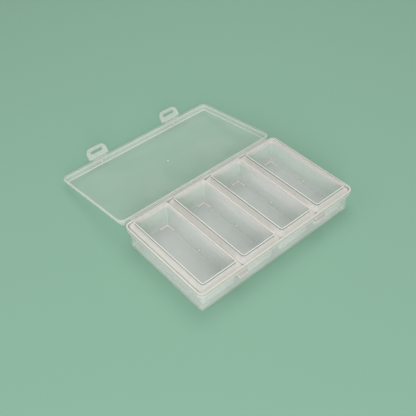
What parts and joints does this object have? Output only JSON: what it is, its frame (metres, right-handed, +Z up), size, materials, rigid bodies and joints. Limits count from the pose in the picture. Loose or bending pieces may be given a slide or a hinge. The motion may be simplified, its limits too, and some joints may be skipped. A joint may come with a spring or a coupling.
{
  "type": "craft organizer box",
  "caption": "Shallow rectangular organizer box with lift-out bins, and a hinged lid lying open behind it with two slotted latch tabs.",
  "frame": {"origin": "centre of the flat underside of the tray", "axes": "+Z up out of the tray, +Y from the latch side to the hinge side where the open lid lies, +X to the right seen from the latch side"},
  "size_m": [0.2026, 0.2461, 0.0333],
  "materials": {
    "tray_plastic": "frosted translucent",
    "lid_plastic": "frosted translucent",
    "bin_plastic": "frosted translucent"
  },
  "bodies": {
    "tray": {"tray": "tray_plastic"},
    "lid": {"lid": "lid_plastic"},
    "latch_left": {"latch_left": "lid_plastic"},
    "latch_right": {"latch_right": "lid_plastic"},
    "bin_1": {"bin_1": "bin_plastic"},
    "bin_2": {"bin_2": "bin_plastic"},
    "bin_3": {"bin_3": "bin_plastic"},
    "bin_4": {"bin_4": "bin_plastic"}
  },
  "joints": [
    {"name": "lid_hinge", "type": "hinge", "parent": "tray", "child": "lid", "pos_m": [0, 0.0597, 0.02875], "axis": [1, 0, 0], "range_deg": [-1.7, 188.6]},
    {"name": "latch_left_hinge", "type": "hinge", "parent": "lid", "child": "latch_left", "pos_m": [-0.051, 0.17654, 0.01022], "axis": [1, 0, 0], "range_deg": [-62.6, 27.4]},
    {"name": "latch_right_hinge", "type": "hinge", "parent": "lid", "child": "latch_right", "pos_m": [0.051, 0.17654, 0.01022], "axis": [1, 0, 0], "range_deg": [-62.6, 27.4]},
    {"name": "bin_1_lift", "type": "slide", "parent": "tray", "child": "bin_1", "axis": [0, 0, -1], "range_m": [-0.045, 0]},
    {"name": "bin_2_lift", "type": "slide", "parent": "tray", "child": "bin_2", "axis": [0, 0, -1], "range_m": [-0.045, 0]},
    {"name": "bin_3_lift", "type": "slide", "parent": "tray", "child": "bin_3", "axis": [0, 0, -1], "range_m": [-0.045, 0]},
    {"name": "bin_4_lift", "type": "slide", "parent": "tray", "child": "bin_4", "axis": [0, 0, -1], "range_m": [-0.045, 0]}
  ]
}
